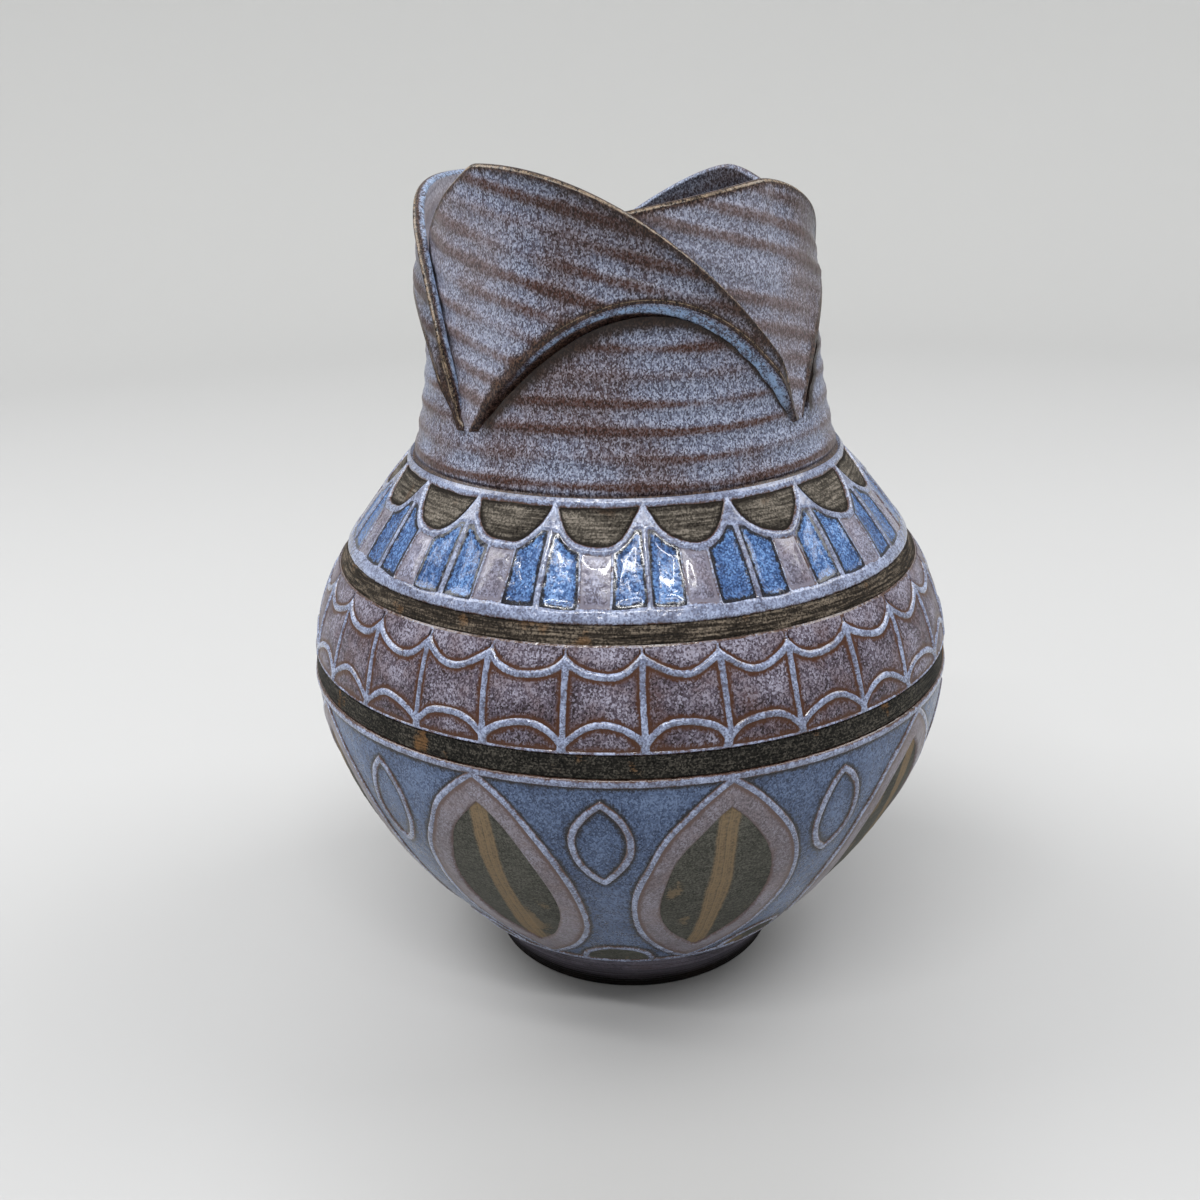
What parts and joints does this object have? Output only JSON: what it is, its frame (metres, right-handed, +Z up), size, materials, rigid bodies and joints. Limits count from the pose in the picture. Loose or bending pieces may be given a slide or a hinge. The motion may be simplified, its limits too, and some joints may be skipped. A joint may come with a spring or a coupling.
{
  "type": "vase",
  "caption": "Round-bellied stoneware vase on a foot ring, with carved glaze courses and a collar cut into lapped petals.",
  "frame": {"origin": "centre of the foot ring on the plane it rests on", "axes": "+Z up along the throwing axis; -Y is the side seen in the picture; +X to its right"},
  "size_m": [0.184, 0.184, 0.2308],
  "materials": {
    "foot_clay": "matt, turned",
    "wall_clay": "matt",
    "mottled_glaze": "satin, speckled",
    "liner": "glossy",
    "dark_slip": "matt, brushed",
    "line_glaze": "satin",
    "pane_glaze": "glossy, pooled",
    "ground_glaze": "glossy, mottled",
    "lilac_glaze": "satin",
    "plum_glaze": "satin, mottled",
    "skirt_glaze": "satin, thin"
  },
  "bodies": {
    "root": {"foot_ring": "foot_clay", "bowl": "wall_clay", "shoulder": "wall_clay", "collar": "mottled_glaze", "petal_front": "mottled_glaze", "petal_right": "mottled_glaze", "petal_back": "mottled_glaze", "petal_left": "mottled_glaze", "liner_glaze": "liner", "skirt_glaze": "skirt_glaze", "frieze_borders": "line_glaze", "frieze_lines": "line_glaze", "frieze_ground": "ground_glaze", "frieze_margins": "lilac_glaze", "frieze_leaves": "dark_slip", "lower_band": "dark_slip", "scallop_lines": "line_glaze", "scallop_panels": "plum_glaze", "upper_band": "dark_slip", "arcade_lines": "line_glaze", "arcade_panels": "plum_glaze", "window_panes": "pane_glaze", "lunettes": "dark_slip"}
  },
  "joints": []
}
